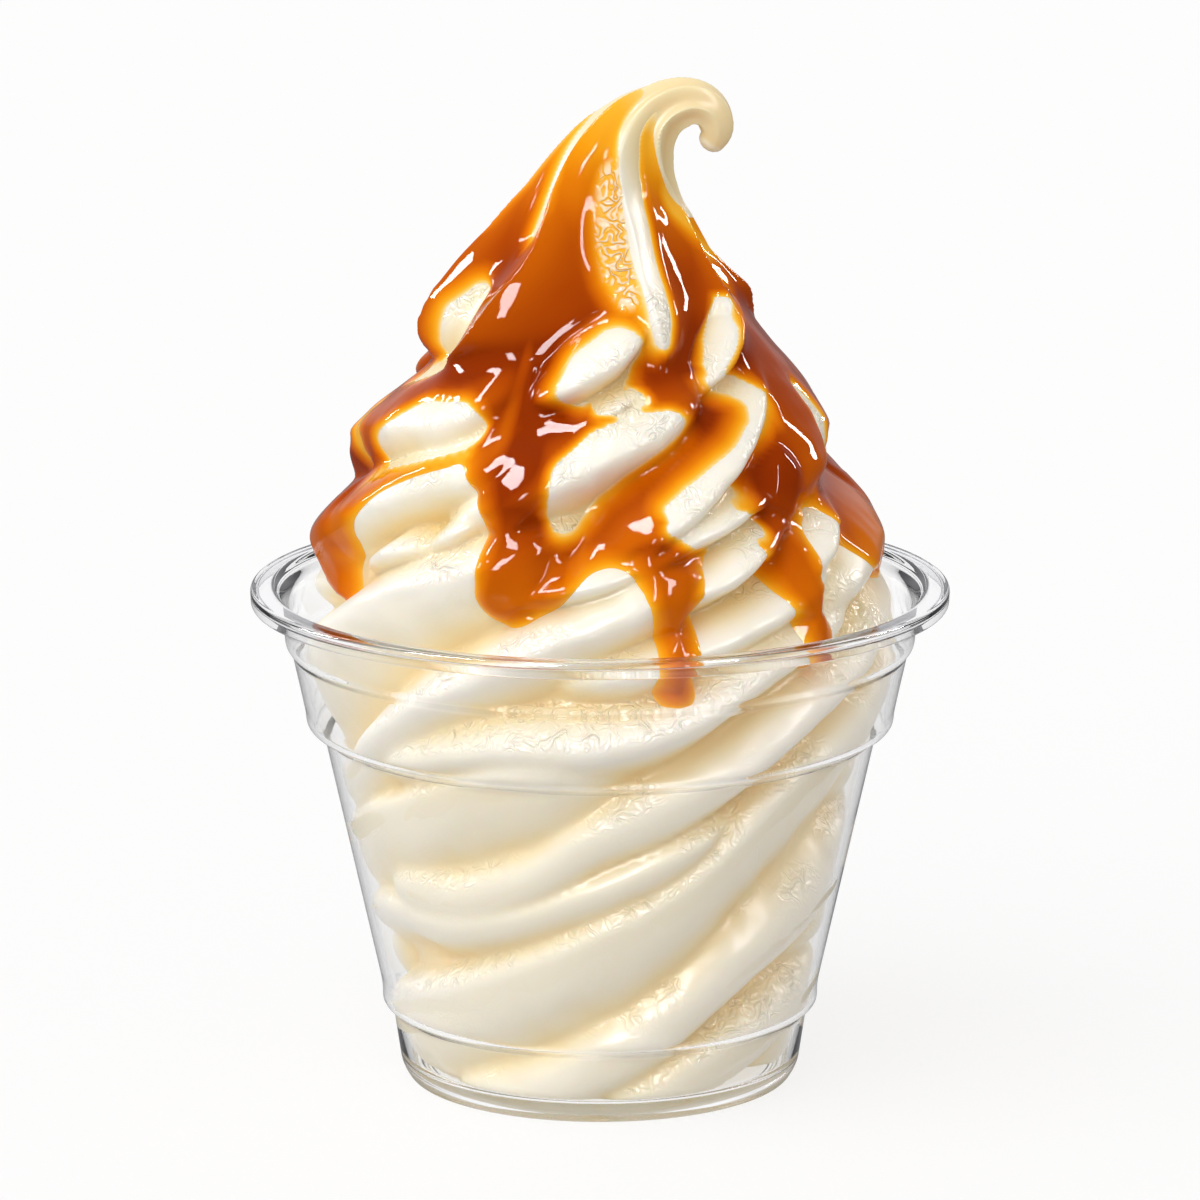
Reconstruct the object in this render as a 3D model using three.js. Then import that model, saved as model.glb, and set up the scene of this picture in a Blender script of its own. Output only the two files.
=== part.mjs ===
// Soft-serve sundae in its clear dessert cup. Millimetres, +Z up, cup axis on Z, foot ring on Z = 0.
// Angles round the cup are degrees from the front (-Y), positive towards +X.
import * as THREE from 'three';

// ---- cup ----
const CUP_HEIGHT = 66.4;
const CUP_SEGMENTS = 48;
const RIM_RADIUS = 46;
const LIP_FLAT_WIDTH = 3;
const LIP_THICKNESS = 2.2;
const LIP_ROUND = 0.9;
const LIP_CHAMFER = 0.25;
const NECK_FLARE = 0.9;
const WALL = 1;
const INNER_BEND_LIFT = 0.2;
const FLOOR_TOP = 2.6;
const FLOOR_CORNER = 0.9;
const FLOOR_UNDERSIDE = 1.2;
const FOOT = { inner: 24, outer: 25.2, slope: 0.9 };
// The outside of the wall from the foot up to the lip: radius and height of each bend
const WALL_BENDS = [
  [26.0, 0.9], [26.4, 2.4], [27.4, 9.4],                // base
  [28.7, 11.4], [29.0, 13.0], [36.4, 46.8],             // tapered wall over the stacking step
  [38.5, 49.0], [39.3, 51.4], [40.6, 57.8],             // shoulder and band
  [41.4, 59.2], [41.6, 60.2], [41.8, 63.2],             // neck
];

// ---- soft serve ----
const ICE_SEGMENTS = 52;
const ICE_RINGS = 61;
const ICE_BOTTOM = FLOOR_TOP + 0.4;
const WALL_CLEARANCE = 0.6;
// The pile's centre line: tilt from upright, in degrees towards +X, by the distance along it
const CENTRE_LINE = [
  [0, 0], [66, 0], [76, -4], [92, -4.5], [101, 3], [106, 13], [112, 10], [118, 11], [123, 22],
  [128, 38], [131.8, 58], [135.6, 90], [138, 128], [140.3, 170], [142.6, 215],
];
const CENTRE_LINE_STEP = 0.25;
const RING_TILT_START = 104;
const RING_TILT_FULL = 116;
// Radius over the crests of the bands, by height
const PILE_RADIUS = [
  [3, 25.0], [11, 27.2], [22, 29.7], [33, 32.1], [44, 34.6], [50, 36.2], [57, 37.8], [64, 38.2], [72, 37.7],
  [78, 35.5], [84, 32.4], [90, 28.6], [96, 25.0], [101, 22.5], [106, 20.0],
];
const CORE_DEPTH = 6;
const CORE_END_SLOPE = 3;
// Radius of the spire and its curled tip, by the distance along the centre line
const SPIRE_RADIUS = [
  [94, 14], [96, 18], [98.5, 20.8], [101.5, 21.8], [104, 21.3], [106, 20.4], [108, 18.8], [112.5, 14.7],
  [118, 10.9], [121, 9.05], [124, 7.5], [128, 5.6], [131.8, 4.1], [135.6, 3.3], [139.3, 2.6], [141.6, 2.15],
  [142.6, 1.8],
];
const TIP_LENGTH = 1.4;
const SPIRE_FLUTES = 6;
const SPIRE_FLUTE_DEPTH = 0.14;
const SPIRE_FLUTE_ANGLE = 28;
const SPIRE_TWIST = -0.6;
// Bands of the swirl. A band's crest passes through a few points, each an angle and a height.
// "above" and "below" are its half-widths on the two sides of the crest, and "proud" is how far the
// crest stands out of the pile's radius.
const CUP_BANDS = [
  { crest: [[-10, -3], [40, 8], [100, 18]], above: 6, below: 6, proud: 0 },
  { crest: [[-62, -4], [-20, 3], [17, 12], [40, 20.5], [75, 28], [106, 33]], above: 9, below: 5, proud: 0 },
  { crest: [[-106, 8], [-40, 16.7], [0, 26], [20, 32], [46, 45], [106, 62]], above: 5, below: 9, proud: 0 },
  { crest: [[-106, 20], [-60, 26.5], [-20, 29], [20, 38], [34, 42]], above: 3.5, below: 4.5, proud: -0.2 },
  { crest: [[-66, 30], [-28, 31], [0, 39.8], [54, 57.5], [106, 68]], above: 6.5, below: 4.5, proud: 0.1 },
  { crest: [[-106, 31], [-60, 39.5], [-20, 49], [4, 51]], above: 4, below: 9, proud: 0 },
  { crest: [[-60, 46], [-20, 52], [11, 54.3], [36, 61.8], [70, 68]], above: 6, below: 4, proud: 0.1 },
  { crest: [[-92, 41], [-66, 45], [-31, 60], [-11, 66], [26, 75]], above: 5, below: 6, proud: 0 },
  { crest: [[-112, 52], [-88, 58], [-57, 68], [-26, 75], [-6, 79]], above: 4, below: 11, proud: 0.2 },
];
const CUP_BANDS_AT_BACK = 180;
const UPPER_BANDS = [
  { crest: [[-112, 68], [-88, 73], [-60, 80], [-26, 86], [-12, 89]], above: 5.5, below: 6, proud: -0.4 },
  { crest: [[-112, 83], [-88, 86.8], [-60, 90], [-22, 96]], above: 5, below: 9, proud: 0.2 },
  { crest: [[-18, 95], [6, 99.7], [26, 104]], above: 3.7, below: 3.7, proud: 1.2 },
  { crest: [[36, 95], [57, 101], [78, 108]], above: 3.4, below: 3.6, proud: 1.2 },
  { crest: [[-36, 80], [-8, 86], [26, 93], [42, 97]], above: 4.5, below: 5.5, proud: 0.9 },
  { crest: [[2, 77], [17, 81], [45, 89.5], [74, 99]], above: 3.2, below: 3.6, proud: 1.3 },
  { crest: [[12, 70.5], [30, 74.5], [48, 79]], above: 3.3, below: 3.3, proud: 0.4 },
  { crest: [[-8, 61], [20, 65], [62, 74]], above: 3.5, below: 4, proud: 0.1 },
  { crest: [[40, 70], [57, 75.5], [74, 81]], above: 4, below: 4.5, proud: 0.5 },
  { crest: [[44, 66], [70, 71], [88, 73.5], [118, 76]], above: 5.5, below: 6, proud: -0.4 },
  { crest: [[44, 82], [70, 86], [88, 88.5], [120, 91.5]], above: 8, below: 6, proud: 0.8 },
  { crest: [[86, 67], [150, 80], [184, 88]], above: 5, below: 6, proud: 0.6 },
  { crest: [[100, 80], [150, 90], [186, 98]], above: 5, below: 5.5, proud: 0.6 },
  { crest: [[140, 64], [200, 76], [240, 84]], above: 5, below: 6, proud: 0.6 },
  { crest: [[152, 76], [206, 87], [248, 94]], above: 5, below: 5.5, proud: 0.4 },
];
const BAND_DEPTH = 5;
const BAND_ROUNDNESS = 1.7;
const BAND_END = 22;
const BAND_END_DEPTH = 4.5;
const BLEND_SHARPNESS = 3;

const toRadians = THREE.MathUtils.degToRad;
const smooth = THREE.MathUtils.smoothstep;

// Straight-line reading of a list of [place, value] pairs
function readCurve(curve, at) {
  const next = curve.findIndex(([place]) => place >= at);
  const upper = next < 0 ? curve.length - 1 : Math.max(next, 1);
  const [[startPlace, startValue], [endPlace, endValue]] = curve.slice(upper - 1, upper + 1);
  const share = THREE.MathUtils.clamp((at - startPlace) / (endPlace - startPlace), 0, 1);
  return THREE.MathUtils.lerp(startValue, endValue, share);
}

// ---- cup: one lathe whose profile starts and ends on the axis ----
function cupInnerBends() {
  const neck = RIM_RADIUS - LIP_FLAT_WIDTH;
  const corner = WALL_BENDS[1][0] - WALL;
  const wall = WALL_BENDS.slice(2).reverse();
  return [
    [neck, CUP_HEIGHT],
    [neck - NECK_FLARE, CUP_HEIGHT - NECK_FLARE / 2],
    [neck - NECK_FLARE * 2, CUP_HEIGHT - NECK_FLARE * 1.7],
    ...wall.map(([radius, height]) => [radius - WALL, height + INNER_BEND_LIFT]),
    [corner, FLOOR_TOP + FLOOR_CORNER],
    [corner - FLOOR_CORNER, FLOOR_TOP],
  ];
}

function makeCup() {
  const lipUnderside = CUP_HEIGHT - LIP_THICKNESS;
  const neckTop = WALL_BENDS.at(-1)[0];
  const outline = [
    [0, FLOOR_UNDERSIDE],
    [FOOT.inner - FOOT.slope, FLOOR_UNDERSIDE],
    [FOOT.inner, 0],
    [FOOT.outer, 0],
    ...WALL_BENDS,
    [neckTop + LIP_ROUND / 2, lipUnderside],
    [RIM_RADIUS - LIP_ROUND, lipUnderside],
    [RIM_RADIUS - LIP_CHAMFER, lipUnderside + LIP_CHAMFER * 2],
    [RIM_RADIUS, CUP_HEIGHT - LIP_THICKNESS / 2],
    [RIM_RADIUS - LIP_CHAMFER, CUP_HEIGHT - LIP_CHAMFER * 2],
    [RIM_RADIUS - LIP_ROUND, CUP_HEIGHT],
    ...cupInnerBends(),
    [0, FLOOR_TOP],
  ];
  const points = outline.map(([radius, height]) => new THREE.Vector2(radius, height));
  const lathe = new THREE.LatheGeometry(points, CUP_SEGMENTS);
  lathe.rotateX(Math.PI / 2);
  return lathe;
}

// ---- soft serve: rings round a bent centre line ----
function bandRadius({ crest, above, below, proud }, angle, height) {
  const first = crest[0][0];
  const last = crest.at(-1)[0];
  const middle = (first + last) / 2;
  const near = THREE.MathUtils.euclideanModulo(angle - middle + 180, 360) - 180 + middle;
  const crestHeight = readCurve(crest, near);
  const across = Math.abs(height - crestHeight) / (height > crestHeight ? above : below);
  const drop = across < 1 ? across ** BAND_ROUNDNESS : 1 + BAND_ROUNDNESS * (across - 1);
  const pastEnd = Math.max(first + BAND_END - near, near - last + BAND_END, 0) / BAND_END;
  return readCurve(PILE_RADIUS, crestHeight) + proud - BAND_DEPTH * drop - BAND_END_DEPTH * pastEnd ** 2;
}

function spireRadius(angle, along) {
  const fluteAngle = SPIRE_FLUTE_ANGLE + (along - RING_TILT_START) * SPIRE_TWIST;
  const phase = THREE.MathUtils.euclideanModulo((angle - fluteAngle) * SPIRE_FLUTES / 360 + 0.5, 1) - 0.5;
  const flute = 4 * phase * phase;
  const belowSpire = Math.max(SPIRE_RADIUS[0][0] - along, 0);
  return readCurve(SPIRE_RADIUS, along) * (1 - SPIRE_FLUTE_DEPTH * flute) - belowSpire * CORE_END_SLOPE;
}

function softMaximum(values) {
  const top = Math.max(...values);
  const sum = values.reduce((total, value) => total + Math.exp((value - top) * BLEND_SHARPNESS), 0);
  return top + Math.log(sum) / BLEND_SHARPNESS;
}

const BACK_BANDS = CUP_BANDS.map((band) => ({
  ...band,
  crest: band.crest.map(([angle, height]) => [angle + CUP_BANDS_AT_BACK, height]),
}));
const ALL_BANDS = [...CUP_BANDS, ...UPPER_BANDS, ...BACK_BANDS];
const INNER_WALL = cupInnerBends().reverse().map(([radius, height]) => [height, radius]);

function iceRadius(angle, along) {
  const core = readCurve(PILE_RADIUS, along) - CORE_DEPTH;
  const surfaces = ALL_BANDS.map((band) => bandRadius(band, angle, along));
  surfaces.push(core - Math.max(along - RING_TILT_START, 0) * CORE_END_SLOPE);
  surfaces.push(spireRadius(angle, along));
  const radius = softMaximum(surfaces);
  return along > CUP_HEIGHT ? radius : Math.min(radius, readCurve(INNER_WALL, along) - WALL_CLEARANCE);
}

function centreLine() {
  const end = CENTRE_LINE.at(-1)[0];
  const stations = [];
  let x = 0;
  let z = ICE_BOTTOM;
  for (let along = ICE_BOTTOM; along <= end; along += CENTRE_LINE_STEP) {
    const tilt = toRadians(readCurve(CENTRE_LINE, along));
    stations.push({ along, x, z, tilt });
    x += Math.sin(tilt) * CENTRE_LINE_STEP;
    z += Math.cos(tilt) * CENTRE_LINE_STEP;
  }
  return stations;
}

function ringPoints(station) {
  const lean = station.tilt * smooth(station.along, RING_TILT_START, RING_TILT_FULL);
  const points = [];
  for (let segment = 0; segment < ICE_SEGMENTS; segment += 1) {
    const angle = segment / ICE_SEGMENTS * 360 - 180;
    const radius = iceRadius(angle, station.along);
    const side = radius * Math.sin(toRadians(angle));
    const front = radius * Math.cos(toRadians(angle));
    points.push(station.x + side * Math.cos(lean), -front, station.z - side * Math.sin(lean));
  }
  return points;
}

// Triangles between neighbouring rings, closed by a fan at the bottom's middle (point 0) and at the tip
function skinTriangles(tipIndex) {
  const triangles = [];
  const lastRing = 1 + (ICE_RINGS - 1) * ICE_SEGMENTS;
  for (let segment = 0; segment < ICE_SEGMENTS; segment += 1) {
    const next = (segment + 1) % ICE_SEGMENTS;
    triangles.push(0, 1 + next, 1 + segment);
    triangles.push(tipIndex, lastRing + segment, lastRing + next);
    for (let low = 1; low < lastRing; low += ICE_SEGMENTS) {
      const high = low + ICE_SEGMENTS;
      triangles.push(low + segment, low + next, high + next);
      triangles.push(low + segment, high + next, high + segment);
    }
  }
  return triangles;
}

function makeSoftServe() {
  const stations = centreLine();
  const bottom = stations[0];
  const tip = stations.at(-1);
  const positions = [bottom.x, 0, bottom.z];
  for (let ring = 0; ring < ICE_RINGS; ring += 1) {
    const share = ring / (ICE_RINGS - 1);
    positions.push(...ringPoints(stations[Math.round(share * (stations.length - 1))]));
  }
  const tipIndex = positions.length / 3;
  positions.push(tip.x + TIP_LENGTH * Math.sin(tip.tilt), 0, tip.z + TIP_LENGTH * Math.cos(tip.tilt));
  const geometry = new THREE.BufferGeometry();
  geometry.setAttribute('position', new THREE.Float32BufferAttribute(positions, 3));
  geometry.setIndex(skinTriangles(tipIndex));
  geometry.computeVertexNormals();
  return geometry;
}

function namedMesh(name, geometry, material) {
  const mesh = new THREE.Mesh(geometry, new THREE.MeshStandardMaterial(material));
  mesh.name = name;
  return mesh;
}

const clearPlastic = { color: 0xf4f6f8, roughness: 0.05, metalness: 0, transparent: true, opacity: 0.3 };
const vanillaCream = { color: 0xf8ecc9, roughness: 0.45, metalness: 0 };

const sundae = new THREE.Group();
sundae.add(namedMesh('cup', makeCup(), clearPlastic));
sundae.add(namedMesh('soft_serve', makeSoftServe(), vanillaCream));

export default sundae;
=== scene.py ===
"""Soft-serve sundae with caramel sauce in a clear dessert cup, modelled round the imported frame.

Lengths are in millimetres unless a name says otherwise; meshes are made in metres.
Angles round the cup are in degrees from the front (-Y), positive towards +X.
"""

import math

import bpy
import numpy as np
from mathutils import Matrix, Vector


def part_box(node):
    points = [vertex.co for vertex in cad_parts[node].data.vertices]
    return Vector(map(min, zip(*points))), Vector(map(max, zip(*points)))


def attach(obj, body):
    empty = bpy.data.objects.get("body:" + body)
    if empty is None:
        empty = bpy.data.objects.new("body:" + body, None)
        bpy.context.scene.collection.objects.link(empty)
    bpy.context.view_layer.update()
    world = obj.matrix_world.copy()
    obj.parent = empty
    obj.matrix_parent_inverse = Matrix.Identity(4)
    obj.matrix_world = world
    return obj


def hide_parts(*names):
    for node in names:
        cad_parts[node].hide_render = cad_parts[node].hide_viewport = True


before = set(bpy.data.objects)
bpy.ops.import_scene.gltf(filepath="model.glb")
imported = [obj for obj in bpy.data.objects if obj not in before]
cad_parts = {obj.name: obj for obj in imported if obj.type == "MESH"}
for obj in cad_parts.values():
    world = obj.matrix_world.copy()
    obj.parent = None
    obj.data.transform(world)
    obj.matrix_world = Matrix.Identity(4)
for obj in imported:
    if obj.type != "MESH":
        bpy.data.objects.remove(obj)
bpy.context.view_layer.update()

MM = 0.001
cup_low, cup_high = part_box("cup")
CUP_HEIGHT = cup_high.z / MM
RIM_RADIUS = (cup_high.x - cup_low.x) / 2 / MM

# ---------------------------------------------------------------- camera
CAMERA_DISTANCE = 1.1
CAMERA_ELEVATION = math.radians(12.9)
CAMERA_AIM_HEIGHT = 0.06415
CAMERA_LENS = 250.8
SENSOR_WIDTH = 36
VIEW_END = 100


def make_camera():
    data = bpy.data.cameras.new("camera")
    data.lens = CAMERA_LENS
    data.sensor_width = SENSOR_WIDTH
    data.clip_end = VIEW_END
    camera = bpy.data.objects.new("camera", data)
    reach = CAMERA_DISTANCE * math.cos(CAMERA_ELEVATION)
    rise = CAMERA_DISTANCE * math.sin(CAMERA_ELEVATION)
    camera.location = (0, -reach, CAMERA_AIM_HEIGHT + rise)
    camera.rotation_euler = (math.pi / 2 - CAMERA_ELEVATION, 0, 0)
    bpy.context.scene.collection.objects.link(camera)
    bpy.context.scene.camera = camera


make_camera()


# ---------------------------------------------------------------- curves and noise
RIPPLE_COUNT = 24
RIPPLE_SPREAD = (0.7, 1.4)
RIPPLE_RADIUS = 30


def smooth_curve(points, at):
    """Cubic curve through (place, value) points, level beyond its ends."""
    places = np.array([place for place, _ in points], float)
    values = np.array([value for _, value in points], float)
    slopes = np.gradient(values, places)
    start = np.clip(np.searchsorted(places, at) - 1, 0, len(places) - 2)
    gap = places[start + 1] - places[start]
    t = np.clip((at - places[start]) / gap, 0, 1)
    rise = t * t * (3 - 2 * t)
    leave = t * (1 - t) ** 2
    arrive = t * t * (t - 1)
    held = values[start] + (values[start + 1] - values[start]) * rise
    return held + gap * (leave * slopes[start] + arrive * slopes[start + 1])


def straight_curve(points, at):
    """Straight lines through (place, value) points, level beyond its ends."""
    return np.interp(at, [place for place, _ in points], [value for _, value in points])


def smooth_step(low, high, value):
    t = np.clip((value - low) / (high - low), 0, 1)
    return t * t * (3 - 2 * t)


def soft_maximum(layers, sharpness):
    """Largest of the layers at each place, blended where two of them meet."""
    stack = np.stack(layers)
    top = stack.max(axis=0)
    return top + np.log(np.exp((stack - top) * sharpness).sum(axis=0)) / sharpness


def ripples(angle, along, wavelength, seed):
    """Gentle seeded unevenness, about -1 to 1, that closes on itself round the pile."""
    random = np.random.default_rng(seed)
    total = np.zeros_like(angle)
    turn = np.radians(angle)
    for _ in range(RIPPLE_COUNT):
        direction = random.uniform(0, 2 * math.pi)
        wave = random.uniform(*RIPPLE_SPREAD) * 2 * math.pi / wavelength
        round_count = round(wave * math.cos(direction) * RIPPLE_RADIUS)
        up = wave * math.sin(direction)
        total += np.sin(round_count * turn + up * along + random.uniform(0, 2 * math.pi))
    return total / math.sqrt(RIPPLE_COUNT)


# ---------------------------------------------------------------- the pile of soft serve
# Tilt of the centre line towards +X, in degrees, by the distance along it
CENTRE_LINE = [
    (0, 0), (66, 0), (76, -4), (92, -4.5), (101, 3), (106, 13), (112, 10), (118, 11), (123, 22),
    (128, 38), (131.8, 58), (135.6, 90), (138, 128), (140.3, 170), (142.6, 215),
]
PILE_START = 2.5
LINE_END = CENTRE_LINE[-1][0]
LINE_STEP = 0.05
# Distances between which the rings turn from level to square with the centre line
RING_TILT = (104, 116)

# Radius of the pile's crests, and of the spire's, by distance along the centre line
PILE_RADIUS = [
    (3, 25.0), (11, 27.6), (22, 30.0), (33, 32.4), (44, 34.8), (50, 36.4), (57, 37.8), (64, 38.2),
    (72, 37.7), (78, 35.5), (84, 32.4), (90, 28.6), (96, 25.0), (101, 22.5), (106, 20.0),
]
CORE_DEPTH = 6
CORE_END_SLOPE = 3
SPIRE_RADIUS = [
    (94, 14), (96, 18), (98.5, 20.8), (101.5, 21.8), (104, 21.3), (106, 20.4), (108, 18.8),
    (112.5, 14.7), (118, 10.9), (121, 9.05), (124, 7.5), (128, 5.6), (131.8, 4.1), (135.6, 3.3),
    (139.3, 2.6), (141.6, 2.15), (142.6, 1.8),
]
SPIRE_FADE = (LINE_END + 2, LINE_END - 10)
# Crests of the spire's ridges: (distance along the centre line, angle), from the left round the front
SPIRE_RIDGES = [
    [(94, -90), (103, -86), (108, -84), (112, -84), (118, -90), (124, -99), (130, -115), (136, -138),
     (143, -150)],
    [(94, -70), (96, -66), (102, -47), (106, -42), (112, -37), (115, -40), (118, -46), (122, -54),
     (126, -60), (130, -71), (136, -100), (143, -125)],
    [(94, 30), (103, 26), (110, 21), (115, 18), (120, 8), (124, -7), (127, -18), (130, -30),
     (134, -46), (143, -85)],
    [(94, 66), (104, 62), (110, 65), (114, 70), (118, 73), (122, 68), (125, 51), (128.5, 32),
     (131, 18), (134, 8), (143, -15)],
    [(94, 112), (104, 100), (112, 94), (120, 94), (124, 92), (128, 84), (131, 74), (134, 62), (143, 40)],
    [(94, 180), (114, 186), (122, 176), (130, 140), (134, 124), (143, 100)],
    [(94, 232), (114, 236), (122, 228), (130, 196), (134, 180), (143, 155)],
]
# A hollow's share of the spire's radius, the angle at which it is fully deep, and its cross-section
SPIRE_VALLEY_DEPTH = 0.22
SPIRE_VALLEY_ANGLE = 52
SPIRE_VALLEY_MOST = 1.2
VALLEY_SKEW = 1.35
VALLEY_FULLNESS = 0.8

# Bands of the swirl: crest points (angle, height), half-widths above and below the crest, and how far
# the crest stands out of the pile's radius
CUP_BANDS = [
    ([(-10, -3), (40, 8), (100, 18)], 6, 6, 0),
    ([(-62, -4), (-20, 3.1), (0, 7.5), (17, 12), (40, 20.5), (75, 28.3), (106, 33)], 9, 5, 0),
    ([(-106, 8), (-40, 16.7), (-20, 21), (0, 25.9), (20, 32), (46, 45), (80, 56), (106, 62)], 5, 9, 0),
    ([(-106, 20), (-60, 26.7), (-40, 26.5), (-20, 28.8), (0, 33), (20, 38), (34, 42)], 3.5, 4.5, -0.2),
    ([(-66, 30), (-28, 31.2), (-20, 33.1), (0, 39.8), (20, 45), (54, 57.5), (106, 68)], 6.5, 4.5, 0.1),
    ([(-106, 31), (-88, 34), (-60, 39.5), (-40, 44), (-20, 49), (4, 51)], 4, 9, 0),
    ([(-60, 46), (-40, 49.5), (-20, 52), (0, 52.6), (11, 54.3), (36, 61.8), (70, 68)], 6, 4, 0.1),
    ([(-92, 41), (-66, 45), (-52, 51.5), (-31, 59.9), (-11, 66), (26, 75)], 5, 6, 0),
    ([(-112, 52), (-88, 58), (-57, 67.8), (-40, 72.3), (-26, 75), (-6, 79)], 4, 11, 0.2),
]
UPPER_BANDS = [
    ([(-64, 72), (-50, 75.5), (-36, 77)], 2.5, 3, 0),
    ([(-44, 75.5), (-33, 79), (-22, 82)], 3, 3, 0.3),
    ([(-112, 68), (-88, 73), (-60, 80), (-40, 84.5), (-26, 86), (-12, 89)], 5.5, 6, -0.4),
    ([(-112, 83), (-88, 86.8), (-60, 90), (-40, 92), (-22, 96)], 5, 9, 0.2),
    ([(-18, 95), (6, 99.7), (26, 104)], 3.7, 3.7, 1.2),
    ([(-4, 93), (10, 95), (24, 97.5)], 1.8, 1.8, 0.2),
    ([(36, 95), (57, 101), (78, 108)], 3.4, 3.6, 1.2),
    ([(-36, 80), (-8, 86), (10, 90), (26, 93), (42, 97)], 4.5, 5.5, 0.9),
    ([(2, 77), (17, 80.7), (32, 85.5), (45, 89.5), (60, 94.5), (74, 99)], 4.0, 3.8, 1.2),
    ([(6, 75.5), (27, 80), (48, 83)], 2.8, 3, 0.5),
    ([(-20, 71.5), (-2, 73.8), (16, 76.5)], 3, 3, 0.1),
    ([(12, 70.5), (30, 74.5), (48, 79)], 3.3, 3.3, 0.4),
    ([(-8, 61), (20, 65), (40, 69), (62, 74)], 3.5, 4, 0.1),
    ([(40, 70), (57, 75.5), (74, 81)], 4, 4.5, 0.5),
    ([(44, 66), (70, 71), (88, 73.5), (118, 76)], 5.5, 6, -0.4),
    ([(44, 82), (70, 86), (88, 88.5), (120, 91.5)], 8, 6, 0.8),
    ([(86, 67), (118, 73), (150, 80), (184, 88)], 5, 6, 0.6),
    ([(100, 80), (150, 90), (186, 98)], 5, 5.5, 0.6),
    ([(140, 64), (200, 76), (240, 84)], 5, 6, 0.6),
    ([(152, 76), (206, 87), (248, 94)], 5, 5.5, 0.4),
]
# The bands in the cup repeat at the back, turned by this angle
BACK_TURN = 172
BAND_DEPTH = 5
CREST_ROUNDING = 0.4
BAND_END = 22
BAND_END_DEPTH = 4.5
BAND_END_POWER = 2.2
BLEND_SHARPNESS = 3
# The ice cream's unevenness: height, wavelength and seed; it calms down towards the spire
UNEVENNESS = [(0.16, 9, 3), (0.06, 3.5, 5)]
CALM = (112, 92)
WALL_PRESS = 1.2
WALL_PRESS_HEIGHT = 12
WALL_SHARPNESS = 1.5
NO_WALL = 1000


def band_radius(angle, height, crest, above, below, proud, turn=0):
    """Radius of one band: rounded at its crest, sinking away above it, below it and at its ends."""
    first, last = crest[0][0], crest[-1][0]
    middle = (first + last) / 2
    near = (angle - turn - middle + 180) % 360 - 180 + middle
    crest_height = smooth_curve(crest, near)
    across = np.abs(height - crest_height) / np.where(height > crest_height, above, below)
    edge_drop = math.hypot(1, CREST_ROUNDING) - CREST_ROUNDING
    drop = (np.hypot(across, CREST_ROUNDING) - CREST_ROUNDING) / edge_drop
    past_end = np.maximum(np.maximum(first + BAND_END - near, near - last + BAND_END), 0) / BAND_END
    radius = straight_curve(PILE_RADIUS, crest_height) + proud
    return radius - BAND_DEPTH * drop - BAND_END_DEPTH * past_end ** BAND_END_POWER


def spire_radius(angle, along):
    """Radius of the spire: ridges that wind to the tip, with a hollow between each two."""
    crests = [smooth_curve(path, along) for path in SPIRE_RIDGES]
    crests.append(crests[0] + 360)
    unwound = (angle - crests[0]) % 360 + crests[0]
    hollow = np.zeros_like(angle)
    for start, end in zip(crests, crests[1:]):
        t = (unwound - start) / (end - start)
        between = (t >= 0) & (t < 1)
        profile = np.sin(np.pi * np.clip(t, 0, 1) ** VALLEY_SKEW) ** VALLEY_FULLNESS
        depth = profile * np.minimum((end - start) / SPIRE_VALLEY_ANGLE, SPIRE_VALLEY_MOST)
        hollow = np.where(between, depth, hollow)
    radius = smooth_curve(SPIRE_RADIUS, along)
    below_spire = np.maximum(SPIRE_RADIUS[0][0] - along, 0)
    fade = smooth_step(*SPIRE_FADE, along)
    return radius * (1 - SPIRE_VALLEY_DEPTH * hollow * fade) - below_spire * CORE_END_SLOPE


def cup_inner_radius(height):
    return straight_curve([(z, r) for r, z in reversed(CUP_INNER)], height)


def pile_radius(angle, along):
    """Radius of the ice cream: bands, core and spire blended, pressed against the cup's wall."""
    layers = [band_radius(angle, along, *band) for band in CUP_BANDS + UPPER_BANDS]
    layers += [band_radius(angle, along, *band, turn=BACK_TURN) for band in CUP_BANDS]
    core = straight_curve(PILE_RADIUS, along) - CORE_DEPTH
    layers.append(core - np.maximum(along - RING_TILT[0], 0) * CORE_END_SLOPE)
    layers.append(spire_radius(angle, along))
    radius = soft_maximum(layers, BLEND_SHARPNESS)
    calm = smooth_step(*CALM, along)
    for height, wavelength, seed in UNEVENNESS:
        radius = radius + height * ripples(angle, along, wavelength, seed) * calm
    radius = radius + WALL_PRESS * smooth_step(CUP_HEIGHT, CUP_HEIGHT - WALL_PRESS_HEIGHT, along)
    wall = np.where(along < CUP_HEIGHT, cup_inner_radius(along) + WALL_CONTACT, NO_WALL)
    return -soft_maximum([-radius, -wall], WALL_SHARPNESS)


def centre_line(along):
    """Places (x, z) and tilt of the pile's centre line."""
    fine = np.arange(PILE_START, LINE_END + LINE_STEP, LINE_STEP)
    tilt = np.radians(straight_curve(CENTRE_LINE, fine))
    x = np.concatenate([[0], np.cumsum(np.sin(tilt) * LINE_STEP)[:-1]])
    z = PILE_START + np.concatenate([[0], np.cumsum(np.cos(tilt) * LINE_STEP)[:-1]])
    return np.interp(along, fine, x), np.interp(along, fine, z), np.interp(along, fine, tilt)


def place(angle, along, radius):
    """Points in space for a radius over a grid of angles and distances along the centre line."""
    x, z, tilt = centre_line(along)
    lean = tilt * smooth_step(*RING_TILT, along)
    side = radius * np.sin(np.radians(angle))
    front = radius * np.cos(np.radians(angle))
    return np.stack([x + side * np.cos(lean), -front, z - side * np.sin(lean)], axis=-1)


# ---------------------------------------------------------------- meshes
def grid_faces(rows, columns):
    """Quads of a grid that closes round its columns, facing out."""
    row, column = np.meshgrid(np.arange(rows - 1), np.arange(columns), indexing="ij")
    a = row * columns + column
    b = row * columns + (column + 1) % columns
    return np.stack([a, b, b + columns, a + columns], axis=-1).reshape(-1, 4)


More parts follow.
